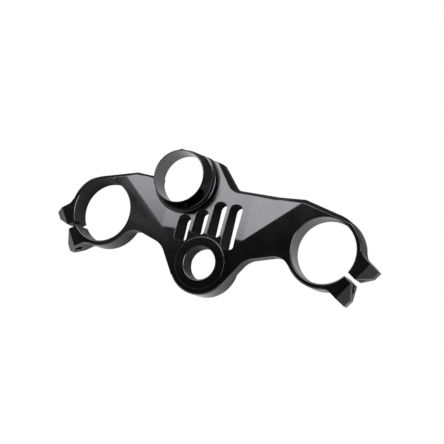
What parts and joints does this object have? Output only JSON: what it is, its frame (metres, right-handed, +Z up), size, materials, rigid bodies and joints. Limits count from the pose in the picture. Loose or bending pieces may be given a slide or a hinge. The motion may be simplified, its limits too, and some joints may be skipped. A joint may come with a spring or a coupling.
{
  "type": "motorcycle upper triple clamp",
  "caption": "Black machined upper triple clamp with split fork clamps at both ends, a slotted middle, a stem boss and a raised round collar for the ignition switch.",
  "frame": {"origin": "on the steering axis, in the plane of the underside", "axes": "+Z up along the steering axis, +Y forward, +X to the rider's right along the line between the forks"},
  "size_m": [0.2972, 0.1202, 0.0345],
  "materials": {
    "body": "satin black anodised, machined"
  },
  "bodies": {
    "root": {"top_clamp": "body"}
  },
  "joints": []
}
